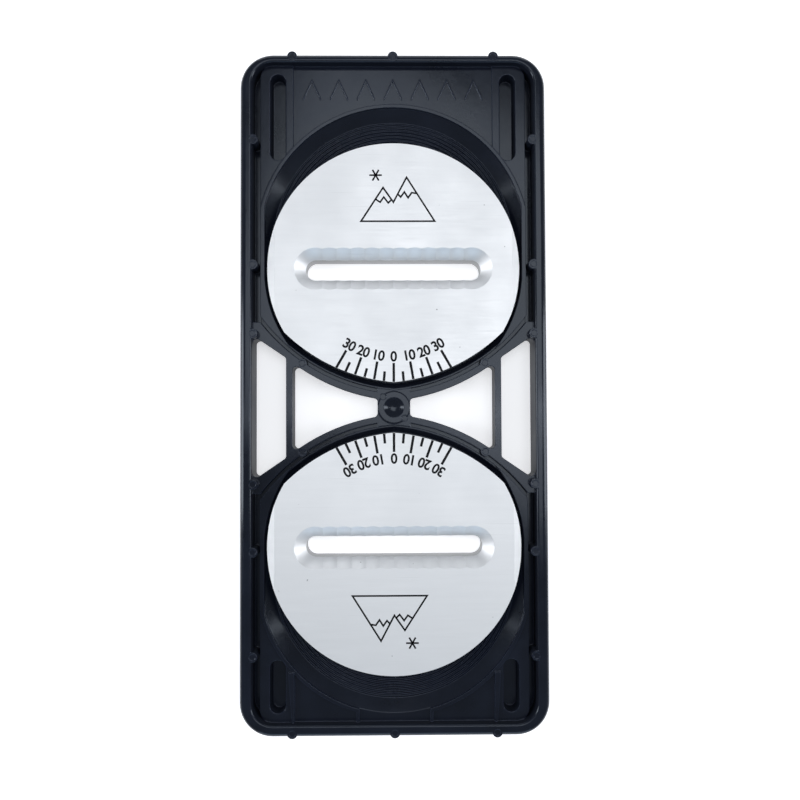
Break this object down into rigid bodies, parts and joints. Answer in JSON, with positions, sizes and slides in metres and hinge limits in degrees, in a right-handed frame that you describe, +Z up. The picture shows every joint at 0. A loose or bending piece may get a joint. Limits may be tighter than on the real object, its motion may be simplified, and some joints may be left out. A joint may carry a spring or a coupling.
{
  "type": "snowboard stance plate",
  "caption": "Long moulded plate with a toe and a heel hold-down disc, each slotted for screws and marked with a stance-angle scale.",
  "frame": {"origin": "bottom centre of the bounding box, on the underside that rests on the board", "axes": "+X to the right across the plate, +Y along the plate towards its toe edge, +Z up to the marked face"},
  "size_m": [0.112, 0.2496, 0.012],
  "materials": {
    "black_plastic": "glossy as moulded",
    "disc_aluminium": "fine brushed, clear anodised"
  },
  "bodies": {
    "plate": {"frame": "black_plastic"},
    "toe_side": {"toe_disc": "disc_aluminium"},
    "heel_side": {"heel_disc": "disc_aluminium"}
  },
  "joints": [
    {"name": "toe_disc_turn", "type": "hinge", "parent": "plate", "child": "toe_side", "pos_m": [0, 0.04485, 0], "axis": [0, 0, 1], "range_deg": [-30, 30]},
    {"name": "heel_disc_turn", "type": "hinge", "parent": "plate", "child": "heel_side", "pos_m": [0, -0.05675, 0], "axis": [0, 0, 1], "range_deg": [-30, 30]}
  ]
}
